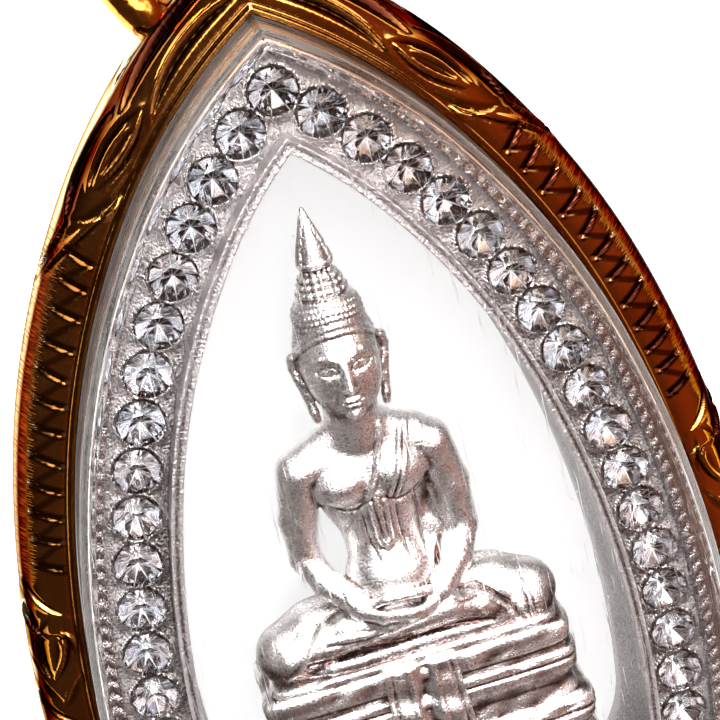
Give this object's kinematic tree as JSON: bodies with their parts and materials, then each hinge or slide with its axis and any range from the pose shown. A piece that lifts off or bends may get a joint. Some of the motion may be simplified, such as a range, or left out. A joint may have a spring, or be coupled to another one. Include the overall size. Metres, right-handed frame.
{
  "type": "thai buddha amulet pendant",
  "caption": "Leaf-shaped amulet pendant: gold case with hanging hoop, clear covers, silver frame of round stones and a small cast seated Buddha inside.",
  "frame": {"origin": "middle of the pendant's length and width, at the level of its back face", "axes": "+Z out of the front, +Y along the length towards the hanging hoop, +X to the wearer's left as the front is seen with the hoop up"},
  "size_m": [0.0326, 0.0578, 0.0077],
  "materials": {
    "gold": "polished gold plate with hand engraving",
    "clear": "clear polished acrylic with fine scratches",
    "silver": "matt sand-blasted silver with bright edges",
    "crystal": "faceted clear crystal",
    "cast_silver": "cast silver, grainy in the hollows and bright on the high places"
  },
  "bodies": {
    "root": {"gold_case": "gold", "front_cover": "clear", "back_cover": "clear", "silver_frame": "silver", "stones": "crystal", "buddha_figure": "cast_silver"}
  },
  "joints": []
}
